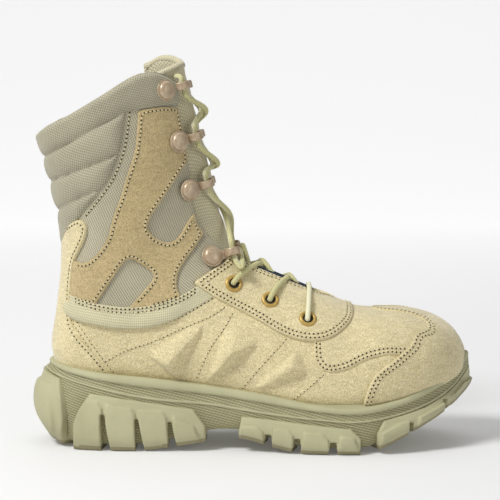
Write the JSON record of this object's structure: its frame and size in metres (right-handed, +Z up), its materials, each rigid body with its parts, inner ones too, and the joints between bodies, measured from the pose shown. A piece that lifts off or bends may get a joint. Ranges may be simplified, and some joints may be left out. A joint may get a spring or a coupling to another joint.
{
  "type": "combat boot",
  "caption": "Lace-up combat boot for the right foot: sand suede and woven shaft with padded collar, riveted lace loops, moulded lug sole.",
  "frame": {"origin": "on the floor, under the middle of the boot's box", "axes": "+X from heel to toe, +Y to the inner (medial) side of the foot, +Z up"},
  "size_m": [0.3, 0.1104, 0.2644],
  "materials": {
    "suede": "sand suede, brushed nap",
    "shaft_fabric": "coarse woven nylon, matte",
    "lining_cloth": "dark knitted lining",
    "outsole_rubber": "moulded rubber, satin, knurled between the lugs",
    "midsole_rubber": "moulded rubber, satin",
    "loop_metal": "pressed steel with matte paint",
    "eyelet_metal": "rolled brass, matte lacquer",
    "lace_cord": "braided cord"
  },
  "bodies": {
    "root": {"outsole": "outsole_rubber", "midsole": "midsole_rubber", "insole": "lining_cloth", "upper": "shaft_fabric", "tongue": "shaft_fabric", "toe_cap": "suede", "heel_counter": "suede", "eyestay": "suede", "eyelet_lateral_1": "eyelet_metal", "eyelet_lateral_2": "eyelet_metal", "eyelet_lateral_3": "eyelet_metal", "eyelet_medial_1": "eyelet_metal", "eyelet_medial_2": "eyelet_metal", "eyelet_medial_3": "eyelet_metal", "lace_loop_lateral_1": "loop_metal", "lace_loop_lateral_2": "loop_metal", "lace_loop_lateral_3": "loop_metal", "lace_loop_lateral_4": "loop_metal", "lace_loop_medial_1": "loop_metal", "lace_loop_medial_2": "loop_metal", "lace_loop_medial_3": "loop_metal", "lace_loop_medial_4": "loop_metal", "rivet_lateral_1": "loop_metal", "rivet_lateral_2": "loop_metal", "rivet_lateral_3": "loop_metal", "rivet_lateral_4": "loop_metal", "rivet_medial_1": "loop_metal", "rivet_medial_2": "loop_metal", "rivet_medial_3": "loop_metal", "rivet_medial_4": "loop_metal", "lace_bar": "lace_cord", "lace_crossing_1": "lace_cord", "lace_crossing_2": "lace_cord", "lace_crossing_3": "lace_cord", "lace_crossing_4": "lace_cord", "lace_crossing_5": "lace_cord", "lace_crossing_6": "lace_cord"}
  },
  "joints": []
}
